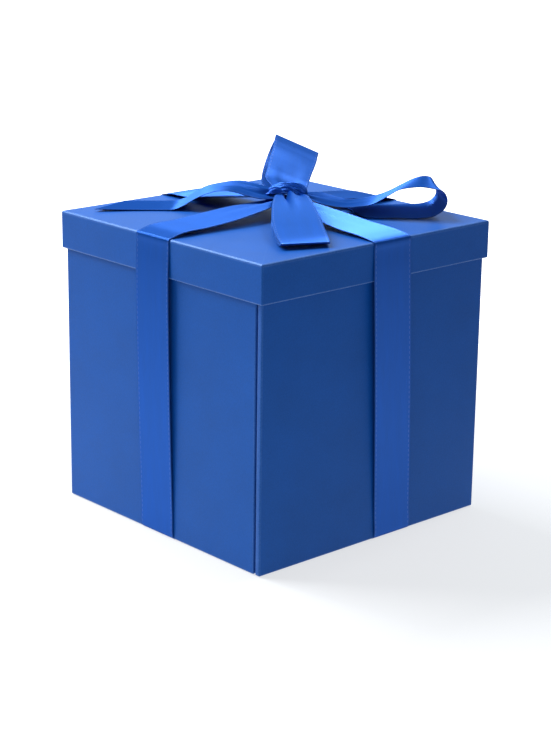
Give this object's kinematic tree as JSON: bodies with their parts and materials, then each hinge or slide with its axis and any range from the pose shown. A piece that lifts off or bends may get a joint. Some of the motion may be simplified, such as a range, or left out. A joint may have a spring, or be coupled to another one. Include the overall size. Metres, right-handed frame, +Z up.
{
  "type": "gift box",
  "caption": "Cube gift box of wrapped board with a shallow lift-off lid, tied both ways round with a satin ribbon that ends in a bow of loops and trailing tails.",
  "frame": {"origin": "middle of the footprint, on the surface the box stands on (underside of the ribbon)", "axes": "+Z up, +X out of the right-hand face, -Y out of the front face"},
  "size_m": [0.156, 0.156, 0.1855],
  "materials": {
    "box_paper": "blue covering paper with a fine grain, satin",
    "lid_paper": "blue covering paper with a fine grain, satin",
    "lining_paper": "plain white lining paper, matt",
    "grey_board": "bare grey board, matt",
    "joining_tape": "gummed paper tape, matt",
    "satin_ribbon": "blue satin weave with a stitched selvedge"
  },
  "bodies": {
    "box": {"wall_wrap": "box_paper", "front_wall_board": "grey_board", "left_wall_board": "grey_board", "back_wall_board": "grey_board", "right_wall_board": "grey_board", "front_wall_liner": "lining_paper", "back_wall_liner": "lining_paper", "left_wall_liner": "lining_paper", "right_wall_liner": "lining_paper", "base_board": "grey_board", "base_liner": "lining_paper", "base_wrap": "box_paper", "front_foot_tape": "joining_tape", "back_foot_tape": "joining_tape", "left_foot_tape": "joining_tape", "right_foot_tape": "joining_tape", "corner_joint_tape": "joining_tape", "ribbon_under_lengthwise": "satin_ribbon", "ribbon_under_crosswise": "satin_ribbon"},
    "lid": {"lid_top_board": "grey_board", "lid_front_board": "grey_board", "lid_back_board": "grey_board", "lid_left_board": "grey_board", "lid_right_board": "grey_board", "lid_corner_stays": "joining_tape", "lid_liner": "lining_paper", "lid_wrap": "lid_paper"},
    "ribbon": {"ribbon_front_arm": "satin_ribbon", "ribbon_front_band": "satin_ribbon", "ribbon_right_arm": "satin_ribbon", "ribbon_right_band": "satin_ribbon", "ribbon_back_arm": "satin_ribbon", "ribbon_back_band": "satin_ribbon", "ribbon_left_arm": "satin_ribbon", "ribbon_left_band": "satin_ribbon", "bow_knot": "satin_ribbon", "bow_back_loop": "satin_ribbon", "bow_front_loop": "satin_ribbon", "bow_left_tail": "satin_ribbon", "bow_right_tail": "satin_ribbon"}
  },
  "joints": [
    {"name": "lid_lift", "type": "slide", "parent": "box", "child": "lid", "axis": [0, 0, 1], "range_m": [0, 0.18]},
    {"name": "ribbon_lift", "type": "slide", "parent": "lid", "child": "ribbon", "axis": [0, 0, 1], "range_m": [0, 0.18]}
  ]
}
